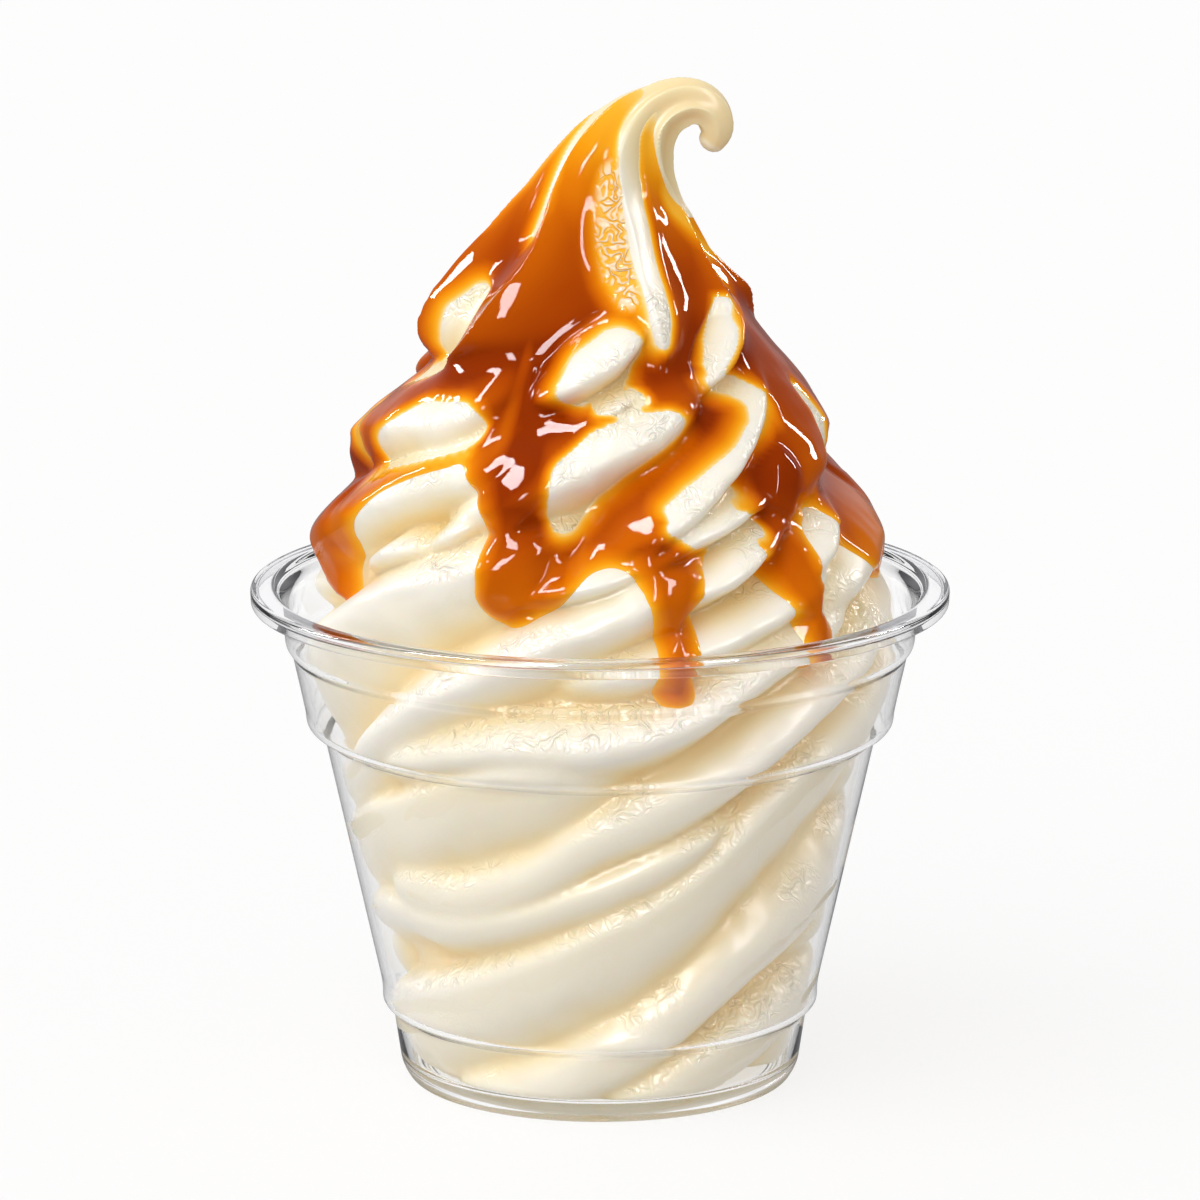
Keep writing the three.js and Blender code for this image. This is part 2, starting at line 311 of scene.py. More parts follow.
def closed_ends(points, faces, rings, turns, bottom, top):
    """Points with two more, and faces with a fan of triangles to each, which close the grid's ends."""
    bottom_index, top_index = len(points), len(points) + 1
    last = (rings - 1) * turns
    for turn in range(turns):
        following = (turn + 1) % turns
        faces.append((bottom_index, following, turn))
        faces.append((top_index, last + turn, last + following))
    return np.concatenate([points, [bottom, top]])


def make_mesh(name, points, faces, material, node, attributes=None):
    """A smooth-shaded piece from points in millimetres, riding on the root."""
    mesh = bpy.data.meshes.new(name)
    mesh.from_pydata((points * MM).tolist(), [], [list(face) for face in faces])
    mesh.update()
    mesh.polygons.foreach_set("use_smooth", [True] * len(mesh.polygons))
    for label, values in (attributes or {}).items():
        layer = mesh.attributes.new(label, "FLOAT", "POINT")
        layer.data.foreach_set("value", np.asarray(values, np.float32).ravel())
    piece = bpy.data.objects.new(name, mesh)
    bpy.context.scene.collection.objects.link(piece)
    mesh.materials.append(material)
    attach(piece, "root")
    if node:
        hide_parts(node)
    return piece


# ---------------------------------------------------------------- cup
WALL = 1.0
WALL_RISE = 0.2
WALL_CONTACT = 0.12
FLOOR_TOP = 2.6
FLOOR_UNDERSIDE = 1.2
LIP_FLAT_WIDTH = 3.0
LIP_THICKNESS = 2.2
LIP_FLANGE = 0.9
LIP_SKIRT = 0.8
CUP_TURNS = 288
CORNER_STEPS = 7

# Share of a side that a corner's rounding may take, and the gap below which two points are one
SIDE_SHARE = 0.49
SAME_POINT = 1e-4

# Bends of the wall's outside from foot to lip, with three ledges: radius, height and the bend's rounding
WALL_BENDS = [
    (25.2, 0.0, 0.8), (26.35, 1.8, 1.6),
    (27.45, 9.2, 0.3), (28.85, 10.4, 0.5), (28.85, 11.8, 0.6), (29.0, 13.2, 0.8),
    (36.45, 46.8, 0.3), (38.7, 48.2, 0.6), (38.8, 49.6, 0.8), (39.3, 52, 1.2),
    (40.55, 57.7, 0.4), (41.4, 58.8, 0.5), (41.5, 59.9, 0.6), (41.65, 61.1, 0.5),
]


def rounded(bends):
    """Profile with each corner (radius, height, rounding) turned into a curve tangent to its sides."""
    corners = [np.array(bend[:2], float) for bend in bends]
    profile = [corners[0]]
    for index in range(1, len(corners) - 1):
        before, corner, after = corners[index - 1:index + 2]
        to_before, to_after = before - corner, after - corner
        length_before, length_after = np.linalg.norm(to_before), np.linalg.norm(to_after)
        reach = min(bends[index][2], length_before * SIDE_SHARE, length_after * SIDE_SHARE)
        start = corner + to_before / length_before * reach
        end = corner + to_after / length_after * reach
        for t in np.linspace(0, 1, CORNER_STEPS):
            profile.append(start * (1 - t) ** 2 + corner * 2 * t * (1 - t) + end * t * t)
    profile.append(corners[-1])
    return profile


def cup_outer_bends():
    """Outside from the middle of the foot to the lip, whose edge is rolled down into a skirt."""
    flange_under = CUP_HEIGHT - LIP_FLANGE
    skirt_inside = RIM_RADIUS - LIP_SKIRT
    skirt_end = CUP_HEIGHT - LIP_THICKNESS
    return [
        (0.0, FLOOR_UNDERSIDE, 0), (23.0, FLOOR_UNDERSIDE, 0.8), (24.0, 0.0, 0.5), *WALL_BENDS,
        (41.9, 63.6, 0.5), (42.4, flange_under, 0.5), (skirt_inside, flange_under, 0.4),
        (skirt_inside, skirt_end, 0.2), (RIM_RADIUS - 0.1, skirt_end, 0.35), (RIM_RADIUS, CUP_HEIGHT, 0.7),
    ]


def cup_inner_bends():
    """Inside from the lip down to the middle of the floor, a wall's thickness in from the outside."""
    neck = RIM_RADIUS - LIP_FLAT_WIDTH
    inner = [(radius - WALL, height + WALL_RISE, bend) for radius, height, bend in WALL_BENDS[2:]]
    corner = WALL_BENDS[1][0] - WALL
    return [
        (neck, CUP_HEIGHT - 0.02, 0.5), (neck - 0.75, CUP_HEIGHT - 0.7, 0.6),
        (neck - 1.9, CUP_HEIGHT - 2.0, 1.2), *reversed(inner), (corner, FLOOR_TOP, 1.2),
        (0.0, FLOOR_TOP, 0),
    ]


CUP_INNER = rounded([(RIM_RADIUS - WALL, CUP_HEIGHT, 0), *cup_inner_bends()])[1:-1]


def make_cup(material):
    profile = np.array(rounded(cup_outer_bends() + cup_inner_bends()))
    gaps = np.linalg.norm(np.diff(profile, axis=0), axis=1)
    profile = profile[np.concatenate([[True], gaps > SAME_POINT])]
    rings = profile[1:-1]
    angle = np.linspace(0, 2 * math.pi, CUP_TURNS, endpoint=False)
    radius, height = rings[:, :1], rings[:, 1:]
    points = np.stack([radius * np.sin(angle), -radius * np.cos(angle), height + 0 * angle], axis=-1)
    faces = [tuple(face) for face in grid_faces(len(rings), CUP_TURNS)]
    under, floor = [0, 0, profile[0][1]], [0, 0, profile[-1][1]]
    points = closed_ends(points.reshape(-1, 3), faces, len(rings), CUP_TURNS, under, floor)
    cup = make_mesh("clear_cup", points, faces, material, "cup")
    cup.visible_shadow = False
    cup.visible_diffuse = False


# ---------------------------------------------------------------- soft serve
ICE_TURNS = 430
LOWER_RINGS = 64
UPPER_RINGS = 162
UPPER_START = 56
TIP_LENGTH = 1.5
TIP_RINGS = 5
HOLLOW_RINGS = 221
HOLLOW_BLUR = 3.5
# A blur reaches this many sigmas along the pile, and treats no ring as smaller than this radius
BLUR_REACH = 3
BLUR_LEAST_RADIUS = 1.5
# Painted shade added to the curl's colour, from where, and how much lower it starts on the side it bends
# to
CURL_PAINTED_SHADE = 1.5
CURL_PAINTED_SHADE_RANGE = (120, 130)
CURL_SIDE = 78
CURL_SIDE_WIDTH = 26
CURL_SIDE_DROP = 9


def blurred(field, spacing_along, radius, sigma):
    """Gaussian blur of a field on the pile, sigma in millimetres, round it and along it."""
    columns = field.shape[1]
    waves = np.fft.rfftfreq(columns, d=1 / columns)
    sigma_turn = sigma / np.maximum(radius.mean(axis=1, keepdims=True), BLUR_LEAST_RADIUS)
    spectrum = np.fft.rfft(field, axis=1) * np.exp(-0.5 * (waves * sigma_turn) ** 2)
    round_blurred = np.fft.irfft(spectrum, columns, axis=1)
    reach = int(math.ceil(BLUR_REACH * sigma / spacing_along))
    offsets = np.arange(-reach, reach + 1)
    weights = np.exp(-0.5 * (offsets * spacing_along / sigma) ** 2)
    weights /= weights.sum()
    padded = np.pad(round_blurred, ((reach, reach), (0, 0)), mode="edge")
    rows = field.shape[0]
    return sum(weight * padded[shift:shift + rows] for shift, weight in zip(offsets + reach, weights))


def hollows(turns):
    """How far each place of an even grid lies below its surroundings, with the grid's distances."""
    angle, along = np.meshgrid(turns, np.linspace(PILE_START, LINE_END, HOLLOW_RINGS))
    radius = pile_radius(angle, along)
    return along[:, 0], blurred(radius, along[1, 0] - along[0, 0], radius, HOLLOW_BLUR) - radius


# Painted shade: darkens the curl's colour, starting lower on the side it bends to
def curl_painted_shade(angle, along):
    beside_curl = np.exp(-((angle - CURL_SIDE) / CURL_SIDE_WIDTH) ** 2)
    return CURL_PAINTED_SHADE * smooth_step(*CURL_PAINTED_SHADE_RANGE, along + CURL_SIDE_DROP * beside_curl)


def rounded_tip(angle, along, radius, tilt):
    """Rings that shrink beyond the last one, as on a dome."""
    rings = []
    for quarter in np.linspace(0, math.pi / 2, TIP_RINGS + 1)[1:-1]:
        ring = place(angle[-1:], along[-1:], radius[-1:] * math.cos(quarter))
        beyond = TIP_LENGTH * math.sin(quarter)
        rings.append(ring + [beyond * math.sin(tilt), 0, beyond * math.cos(tilt)])
    return rings


def make_soft_serve(material):
    lower = np.linspace(PILE_START, UPPER_START, LOWER_RINGS, endpoint=False)
    upper = np.linspace(UPPER_START, LINE_END, UPPER_RINGS)
    turns = np.linspace(-180, 180, ICE_TURNS, endpoint=False)
    angle, along = np.meshgrid(turns, np.concatenate([lower, upper]))
    radius = pile_radius(angle, along)
    # The hollow attribute holds each place's depth below its surroundings; the cream's colour uses it as
    # painted shade
    levels, even_hollow = hollows(turns)
    hollow = np.stack([np.interp(along[:, 0], levels, column) for column in even_hollow.T], axis=1)
    # Painted shade on the curl, added to the hollow attribute
    hollow = hollow + curl_painted_shade(angle, along)
    x, z, tilt = (float(value) for value in centre_line(np.array(LINE_END)))
    points = np.concatenate([place(angle, along, radius), *rounded_tip(angle, along, radius, tilt)])
    rings = len(points)
    faces = [tuple(face) for face in grid_faces(rings, ICE_TURNS)]
    bottom = [0, 0, PILE_START]
    tip = [x + TIP_LENGTH * math.sin(tilt), 0, z + TIP_LENGTH * math.cos(tilt)]
    points = closed_ends(points.reshape(-1, 3), faces, rings, ICE_TURNS, bottom, tip)
    hollow = np.concatenate([hollow.ravel(), np.zeros(len(points) - hollow.size)])
    attributes = {"hollow": hollow}
    make_mesh("soft_serve_swirl", points, faces, material, "soft_serve", attributes)


# ---------------------------------------------------------------- caramel sauce
# The sheet levels the pile out: blur of the surface below it, height over that, and least thickness
SHEET_BLUR = 1.8
SHEET_LEVEL = 0.5
SHEET_LEAST = 0.45
SHEET_SHARPNESS = 4
# The same for a drip, whose height falls away outside its path
DRIP_BLUR = 2.0
DRIP_LEVEL = 1.9
DRIP_LEAST = 0.7
DRIP_EDGE_WIDTH = 3.4
DRIP_FALL = 2.5
# The rounded edge, and how sheet and drips join
EDGE_WIDTH = 1.8
EDGE_ROUNDNESS = 2.8
EDGE_SLOPE = 1.2
JOIN_SHARPNESS = 0.9
LAYER_SHARPNESS = 5
LIMIT_SHARPNESS = 8
# Paths: pieces to each stretch, blur of the surface they lie on, and how a crisp side steepens
PATH_STEPS = 3
PATH_BLUR = 2.5
CRISPNESS = 1.4
SIDE_CHANGE = 0.8
FAR_OUTSIDE = -50.0
# How the sauce thins out towards a bare crest, on a thin one, and up the spire
FEATHER = 0.34
THIN_LAYER = 0.16
TOP_FEATHER = 0.16
WRINKLED_EDGE = 0.8
# How the depth of colour grows from the sheet's edge, from a bare crest and from a thin one
EDGE_GROWTH = 0.36
EDGE_TONE = 0.08
GLOW_GROWTH = 0.32
CREST_THICKNESS = 0.55
THIN_TONE = 0.13
POOL_BLUR = 1.0
POOL_GAIN = 1.15
# Depth of colour added inside the sheet, and the deepest colour, by distance
POOLING = [
    (60, 0), (74, 0.1), (80, 0.3), (88, 0.55), (100, 0.68), (106, 0.6), (114, 0.35), (122, 0.1),
    (130, 0),
]
DEEPEST = [
    (62, 0.95), (72, 0.85), (77, 1.1), (84, 1.7), (108, 1.7), (115, 1.1), (119, 0.65), (124, 0.28),
    (128, 0.15), (132, 0.07),
]
# How far the sauce's surface is tucked into the ice cream where there is none
SAUCE_TUCK = 0.8

# Lower edge of the sheet of sauce, and where it thins out on the spire: (angle, distance)
SHEET_EDGE = [
    (-180, 83), (-150, 80), (-128, 79), (-110, 76), (-96, 75.5), (-84, 73), (-78, 71.4), (-74, 71.7),
    (-71, 72.8), (-68.5, 74.9), (-65.5, 77.3), (-62, 79.7), (-58, 81.8), (-50, 84.4), (-38, 86.9),
    (-33, 87.8), (-30, 86.9), (-26, 84.2), (-21, 76.5), (-16, 71.4), (-10.5, 70.5), (-7.5, 71.5),
    (-5, 73.3), (-2.5, 74.9), (1, 75.9), (6, 76.1), (9, 75.5), (14, 75.2), (19, 75.7), (23, 76.5),
    (27, 77.4), (31, 78.2), (36, 78.5), (44, 77.5), (50, 77.4), (55, 79), (61, 79.8), (65, 76),
    (70, 72.2), (80, 68.8), (90, 67.6), (98, 70), (108, 76), (125, 78), (150, 80.5), (180, 83),
]
SHEET_TOP = [
    (-180, 121), (-130, 124), (-100, 128), (-80, 131), (-50, 131.5), (0, 131), (30, 128), (60, 123),
    (84, 118), (110, 118), (150, 120), (180, 121),
]
# Drips: paths of (angle, distance, half-width)
DRIPS = [
    [(-86, 80, 6.5), (-84, 75, 5.6), (-83, 70.8, 4.6), (-81, 67.2, 3.2)],
    [(-20.5, 87.5, 5.2), (-18, 83, 3.7), (-17.5, 79, 4.4), (-18, 75.5, 4.4), (-19.2, 72.3, 4.3)],
    [(15.5, 77, 4.8), (15.5, 71.5, 3.4), (15.8, 66, 2.6), (15.2, 60.6, 2.8)],
    [(46, 85, 6.0), (45.5, 78, 4.4), (45.5, 72.5, 3.7), (47, 68.5, 3.0), (47.5, 64.5, 2.5),
     (47.6, 63.0, 2.7)],
    [(106, 80, 5.5), (107, 73, 3.4), (107, 68, 2.9)],
    [(150, 84, 5.0), (152, 77, 3.4), (152, 72, 3.0)],
    [(-132, 84, 5.5), (-130, 75, 3.5), (-130, 70, 3.1)],
]
# Crests that stay bare: how crisp the sauce's edge is to the left and to the right of the path,
# and the path's (angle, distance, half-width)
BARE_CRESTS = [
    (0, 1, [(-102, 127.4, 0.5), (-84, 125, 0.9), (-73, 122.2, 1.1), (-63, 119.4, 1.1),
            (-56, 116.6, 0.9), (-52, 113, 0.3)]),
    (1, 0, [(-50, 133, 1.3), (-31, 130.4, 1.3), (-15, 127.6, 1.3), (4, 125, 1.3), (17, 121.5, 1.5),
            (23, 116.5, 1.7), (26, 110, 1.7), (27, 105, 1.5), (27, 102.5, 0.9)]),
    (1, 0, [(-62, 106.2, 1.9), (-66, 103, 3.2), (-70, 99.6, 2.3)]),
    (0, 1, [(-83, 94.4, 0.6), (-76, 95.6, 1.4), (-70, 96.7, 1.4), (-64, 97.8, 0.5)]),
    (0.4, 1, [(-64, 87.2, 2.8), (-51, 90.6, 4.3), (-39, 91.9, 3.6)]),
    (0, 1, [(-2, 97.3, 2.8), (4, 99.3, 4.2), (11, 101.6, 3.4)]),
    (1, 1, [(4, 94.9, 0.9), (12, 95.3, 1.8), (15, 95.8, 1.4)]),
    (0.6, 1, [(61, 106.6, 0.7), (56.5, 103.3, 1.2), (51, 101, 1.2), (45, 98.6, 0.8)]),
    (1, 0, [(-7.5, 82, 2.2), (-2.5, 86.9, 3.6), (5, 89.8, 3.8), (15, 92, 3.1), (23, 93, 2.0)]),
    (1, 0, [(44, 97.2, 1.1), (52.5, 95.9, 1.6), (56, 94.1, 1.7), (49.5, 91.1, 1.6), (40.5, 88.3, 1.6),
            (31.5, 86.3, 1.7), (24, 84.5, 1.6), (18, 82.9, 1.1)]),
    (0, 0, [(21, 82.6, 0.9), (28, 83.2, 1.5), (36, 84.6, 1.2)]),
    (1, 0.5, [(17.5, 81.2, 1.2), (24, 80.7, 2.9), (31, 80.2, 2.9), (39, 79.6, 1.5)]),
    (0.5, 1, [(80, 93.6, 0.9), (80, 91.7, 1.6), (78, 89.3, 1.7), (75, 86.8, 1.3), (71, 85.2, 0.7)]),
    (0, 1, [(112, 83, 2.4), (130, 88, 3.6), (146, 91, 2.0)]),
    (0, 1, [(160, 88, 2.0), (176, 92, 3.8), (188, 94, 2.0)]),
    (0, 1, [(-150, 88, 2.0), (-138, 92, 3.4), (-124, 95, 1.8)]),
    (1, 0, [(120, 103, 1.8), (130, 110, 2.6), (132, 117, 1.3)]),
    (1, 0, [(176, 102, 1.8), (184, 110, 2.6), (184, 117, 1.3)]),
]
# Crests with only a thin layer on them, which is wrinkled on the first
THIN_CRESTS = [
    (0, 0, [(-8, 122.4, 1.5), (1, 118.3, 1.9), (7, 114, 2.1), (11, 110.6, 1.9), (15, 107.8, 1.2)]),
    (0, 0, [(-104, 125, 0.9), (-96, 119, 0.9), (-92, 113, 0.7)]),
    (0, 0, [(-70, 83, 0.5), (-60, 85.4, 0.6), (-46, 87.6, 0.6), (-34, 88.8, 0.4)]),
    (0, 0, [(-86, 91, 0.5), (-84, 88, 1.0), (-82, 85, 0.5)]),
    (0, 0, [(80, 113, 0.4), (80, 109, 0.8), (78, 105, 0.5)]),
    (0, 0, [(28, 130, 1.1), (52, 127.5, 1.0), (65, 124, 0.9), (72, 119, 1.1), (82, 116, 1.1),
            (90, 113.5, 0.8)]),
]


def laid_on(points, angle, along):
    """Points of the sauce's own grid at the given angles and distances."""
    row = (along - UPPER_START) / (LINE_END - UPPER_START) * (points.shape[0] - 1)
    column = (angle + 180) / 360 * points.shape[1]
    low_row = np.clip(row.astype(int), 0, points.shape[0] - 2)
    low_column = np.floor(column).astype(int)
    up, across = (row - low_row)[:, None], (column - low_column)[:, None]
    left, right = low_column % points.shape[1], (low_column + 1) % points.shape[1]
    lower = points[low_row, left] * (1 - across) + points[low_row, right] * across
    upper = points[low_row + 1, left] * (1 - across) + points[low_row + 1, right] * across
    return lower * (1 - up) + upper * up


def path_depth(points, path, crisp_left=0, crisp_right=0):
    """Depth inside a tapering path on the pile: negative outside, and sooner so on a crisp side."""
    fine = np.linspace(0, len(path) - 1, (len(path) - 1) * PATH_STEPS + 1)
    whole = np.arange(len(path))
    angle, along, width = (np.interp(fine, whole, column) for column in np.array(path).T)
    stops = laid_on(points, angle, along)
    turn = np.radians(angle)
    outward = np.stack([np.sin(turn), -np.cos(turn), 0 * turn], axis=1)
    best = np.full(points.shape[:-1], FAR_OUTSIDE)
    for i in range(len(stops) - 1):
        span = stops[i + 1] - stops[i]
        t = np.clip((points - stops[i]) @ span / (span @ span), 0, 1)
        offset = points - stops[i] - t[..., None] * span
        depth = width[i] + (width[i + 1] - width[i]) * t - np.linalg.norm(offset, axis=-1)
        leftward = offset @ np.cross(outward[i], span / np.linalg.norm(span)) / width[i]
        left = smooth_step(-SIDE_CHANGE, SIDE_CHANGE, leftward)
        crisp = 1 + CRISPNESS * (crisp_left * left + crisp_right * (1 - left))
        best = np.maximum(best, depth * np.where(depth < 0, crisp, 1))
    return best


def depth_in_any(points, paths):
    return np.max([path_depth(points, path, left, right) for left, right, path in paths], axis=0)


def bead(depth, width):
    """Rounded edge profile, 0 to 1, over a depth inside the edge; falls away outside."""
    t = np.clip(depth / width, -1, 1)
    return np.where(t > 0, 1 - (1 - np.abs(t)) ** EDGE_ROUNDNESS, EDGE_ROUNDNESS * t)


def sauce_thickness(angle, along, radius, points, bare_depth, thin_depth):
    """Thickness of the sauce, negative where there is none, and the depth inside its outline."""
    spacing = along[1, 0] - along[0, 0]
    turn = math.radians(angle[0, 1] - angle[0, 0])
    edge = smooth_curve(SHEET_EDGE, angle)
    edge_slope = np.gradient(edge, axis=1) / (np.maximum(radius, 1) * turn)
    sheet_depth = (along - edge) / np.hypot(1, edge_slope)
    drip_depths = [path_depth(points, path) for path in DRIPS]
    depth = soft_maximum([sheet_depth, *drip_depths], JOIN_SHARPNESS)
    sheet = blurred(radius, spacing, radius, SHEET_BLUR) + SHEET_LEVEL - radius
    least_sheet = SHEET_LEAST + 0 * sheet
    sheet = soft_maximum([sheet, least_sheet], SHEET_SHARPNESS) * bead(depth, EDGE_WIDTH)
    drip_depth = soft_maximum(drip_depths, JOIN_SHARPNESS)
    outside = np.maximum(-drip_depth, 0)
    raised = DRIP_LEVEL * np.maximum(bead(drip_depth, DRIP_EDGE_WIDTH), 0) - DRIP_FALL * outside
    drip = blurred(radius, spacing, radius, DRIP_BLUR) + raised - radius
    least_drip = DRIP_LEAST * bead(drip_depth, EDGE_WIDTH)
    thickness = soft_maximum([sheet, drip, least_drip], LAYER_SHARPNESS)
    top = (smooth_curve(SHEET_TOP, angle) - along) * TOP_FEATHER
    thinned = np.minimum(thin_depth, 0) * FEATHER - THIN_LAYER
    limits = [-thickness, bare_depth * FEATHER, thinned, -top, -depth * EDGE_SLOPE]
    return -soft_maximum(limits, LIMIT_SHARPNESS), depth


def sauce_depth_of_colour(along, thickness, radius, bare_depth, thin_depth, edge_depth):
    """Thickness evened out inside the sheet, growing slowly from its edges and from a bare crest."""
    clipped = np.maximum(thickness, 0)
    evened = blurred(clipped, along[1, 0] - along[0, 0], radius, POOL_BLUR)
    pooled = evened * POOL_GAIN + straight_curve(POOLING, along)
    from_edge = EDGE_GROWTH * np.maximum(edge_depth, 0) + EDGE_TONE
    growth = GLOW_GROWTH * (CREST_THICKNESS + evened)
    from_crest = np.maximum(-bare_depth, 0) * growth
    from_thin = np.maximum(-thin_depth, 0) * growth + THIN_TONE
    most = straight_curve(DEEPEST, along)
    return np.min([pooled, from_edge, from_crest, from_thin, most], axis=0)


def doubled(field):
    """Field with a column added midway between each two, so that a finer grid follows the same surface."""
    middle = (field + np.roll(field, -1, axis=1)) / 2
    return np.stack([field, middle], axis=2).reshape(field.shape[0], -1)


def make_sauce(material):
    turns = np.linspace(-180, 180, ICE_TURNS * 2, endpoint=False)
    angle, along = np.meshgrid(turns, np.linspace(UPPER_START, LINE_END, UPPER_RINGS))
    radius = doubled(pile_radius(angle[:, ::2], along[:, ::2]))
    surface = place(angle, along, blurred(radius, along[1, 0] - along[0, 0], radius, PATH_BLUR))
    bare_depth = depth_in_any(surface, BARE_CRESTS)
    thin_depth = depth_in_any(surface, THIN_CRESTS)
    thickness, edge_depth = sauce_thickness(angle, along, radius, surface, bare_depth, thin_depth)
    depth = sauce_depth_of_colour(along, thickness, radius, bare_depth, thin_depth, edge_depth)
    wrinkled_depth = depth_in_any(surface, THIN_CRESTS[:1])
    wrinkled = smooth_step(-WRINKLED_EDGE, WRINKLED_EDGE, wrinkled_depth)
    shown = thickness > -SAUCE_TUCK / 2
    points = place(angle, along, radius + np.maximum(thickness, -SAUCE_TUCK)).reshape(-1, 3)
    faces = grid_faces(*angle.shape)
    kept = faces[shown.ravel()[faces].any(axis=1)]
    used, renumbered = np.unique(kept, return_inverse=True)
    faces = renumbered.reshape(-1, 4)
    attributes = {"thickness": depth.ravel()[used], "wrinkled": wrinkled.ravel()[used]}
    make_mesh("caramel_sauce", points[used], faces, material, None, attributes)


# ---------------------------------------------------------------- materials
# Base colours of the ice cream by how deep a place lies below its surroundings, shallowest first: the
# cream's own colour at the crests, darkened to tan by painted shade in creases and hollows
CREAM_HOLLOWS = (-1.5, 3.0)
CREAM_AND_PAINTED_SHADE_TONES = [
    (0.0, (0.965, 0.905, 0.80)), (0.25, (0.955, 0.868, 0.69)), (0.55, (0.925, 0.78, 0.49)),
    (1.0, (0.86, 0.63, 0.27)),
]
# Base colours of the sauce by its depth of colour, thinnest first
CARAMEL_DEPTH = 1.7
CARAMEL_TONES = [
    (0.0, (0.965, 0.84, 0.55)), (0.03, (0.965, 0.64, 0.18)), (0.08, (0.96, 0.46, 0.028)),
    (0.17, (0.90, 0.33, 0.006)), (0.32, (0.77, 0.20, 0.0022)), (0.52, (0.62, 0.125, 0.0012)),
    (0.76, (0.43, 0.062, 0.0007)), (1.0, (0.28, 0.030, 0.0004)),
]
# Painted glint: pale pink mixed into the sauce's colour on the high folds of its wrinkled part, standing
# in for highlights; its share, and the fold heights over which it comes in
CARAMEL_PAINTED_GLINT = (0.965, 0.80, 0.60)
PAINTED_GLINT_SHARE = 0.85
PAINTED_GLINT_FOLDS = (0.05, 0.085)
# Wrinkles: scale of the noise, its distortion and detail, height of a fold, and depth of the bump
WRINKLE_SCALE = 520
WRINKLE_DETAIL = 0.5
WRINKLE_DISTORTION = 1.0
WRINKLE_FOLD = 0.12
CREAM_WRINKLE_DEPTH = 0.0012
CARAMEL_WRINKLE_DEPTH = 0.0016
# Where the ice cream is wrinkled: in patches, mostly facing up, below the curl (in metres)
PATCH_SCALE = 70
PATCH_EDGE = (0.44, 0.58)
UPWARD = (0.0, 0.35)
WRINKLES_ON_SIDES = 0.12
WRINKLES_END = (0.110, 0.120)


def new_material(name, **settings):
    """A material whose shader has the given constants, such as roughness=0.5."""
    material = bpy.data.materials.new(name)
    material.use_nodes = True
    nodes = material.node_tree.nodes
    shader = nodes["Principled BSDF"]
    for setting, value in settings.items():
        shader.inputs[setting.replace("_", " ")].default_value = value
    return material, nodes, material.node_tree.links, shader


def ramp_node(nodes, links, factor, stops):
    ramp = nodes.new("ShaderNodeValToRGB")
    elements = ramp.color_ramp.elements
    while len(elements) < len(stops):
        elements.new(0.5)
    for element, (position, colour) in zip(elements, stops):
        element.position = position
        element.color = (*colour, 1)
    links.new(factor, ramp.inputs["Fac"])
    return ramp.outputs["Color"]


def attribute_node(nodes, name):
    node = nodes.new("ShaderNodeAttribute")
    node.attribute_name = name
    return node.outputs["Fac"]


def split_node(nodes, links, vector):
    node = nodes.new("ShaderNodeSeparateXYZ")
    links.new(vector, node.inputs["Vector"])
    return node.outputs


def map_range(nodes, links, source, low, high, new_low=0.0, new_high=1.0):
    node = nodes.new("ShaderNodeMapRange")
    node.inputs["From Min"].default_value = low
    node.inputs["From Max"].default_value = high
    node.inputs["To Min"].default_value = new_low
    node.inputs["To Max"].default_value = new_high
    links.new(source, node.inputs["Value"])
    return node.outputs["Result"]


def multiply(nodes, links, first, second):
    node = nodes.new("ShaderNodeMath")
    node.operation = "MULTIPLY"
    links.new(first, node.inputs[0])
    links.new(second, node.inputs[1])
    return node.outputs["Value"]


def choose(nodes, links, factor, when_0, when_1):
    """Mix of two colours; the second may be a constant."""
    node = nodes.new("ShaderNodeMix")
    node.data_type = "RGBA"
    links.new(factor, node.inputs["Factor"])
    links.new(when_0, node.inputs["A"])
    if isinstance(when_1, tuple):
        node.inputs["B"].default_value = (*when_1, 1)
    else:
        links.new(when_1, node.inputs["B"])
    return node.outputs["Result"]


def tinted(nodes, links, colour, tint):
    """Product of two colours."""
    node = nodes.new("ShaderNodeMix")
    node.data_type = "RGBA"
    node.blend_type = "MULTIPLY"
    node.inputs["Factor"].default_value = 1
    links.new(colour, node.inputs["A"])
    links.new(tint, node.inputs["B"])
    return node.outputs["Result"]


def wrinkle_bump(nodes, links, shader, strength, depth):
    """Fine meandering folds, as on a skin that has set."""
    coordinates = nodes.new("ShaderNodeTexCoord")
    noise = nodes.new("ShaderNodeTexNoise")
    noise.inputs["Scale"].default_value = WRINKLE_SCALE
    noise.inputs["Detail"].default_value = WRINKLE_DETAIL
    noise.inputs["Distortion"].default_value = WRINKLE_DISTORTION
    links.new(coordinates.outputs["Object"], noise.inputs["Vector"])
    fold = nodes.new("ShaderNodeMath")
    fold.operation = "PINGPONG"
    fold.inputs[1].default_value = WRINKLE_FOLD
    links.new(noise.outputs["Fac"], fold.inputs[0])
    bump = nodes.new("ShaderNodeBump")
    bump.inputs["Distance"].default_value = depth
    links.new(strength, bump.inputs["Strength"])
    links.new(fold.outputs["Value"], bump.inputs["Height"])
    links.new(bump.outputs["Normal"], shader.inputs["Normal"])
    return fold.outputs["Value"]


def clear_plastic():
    settings = {"Base_Color": (1, 1, 1, 1), "Transmission_Weight": 1, "Roughness": 0.0, "IOR": 1.46}
    return new_material("clear_plastic", **settings)[0]


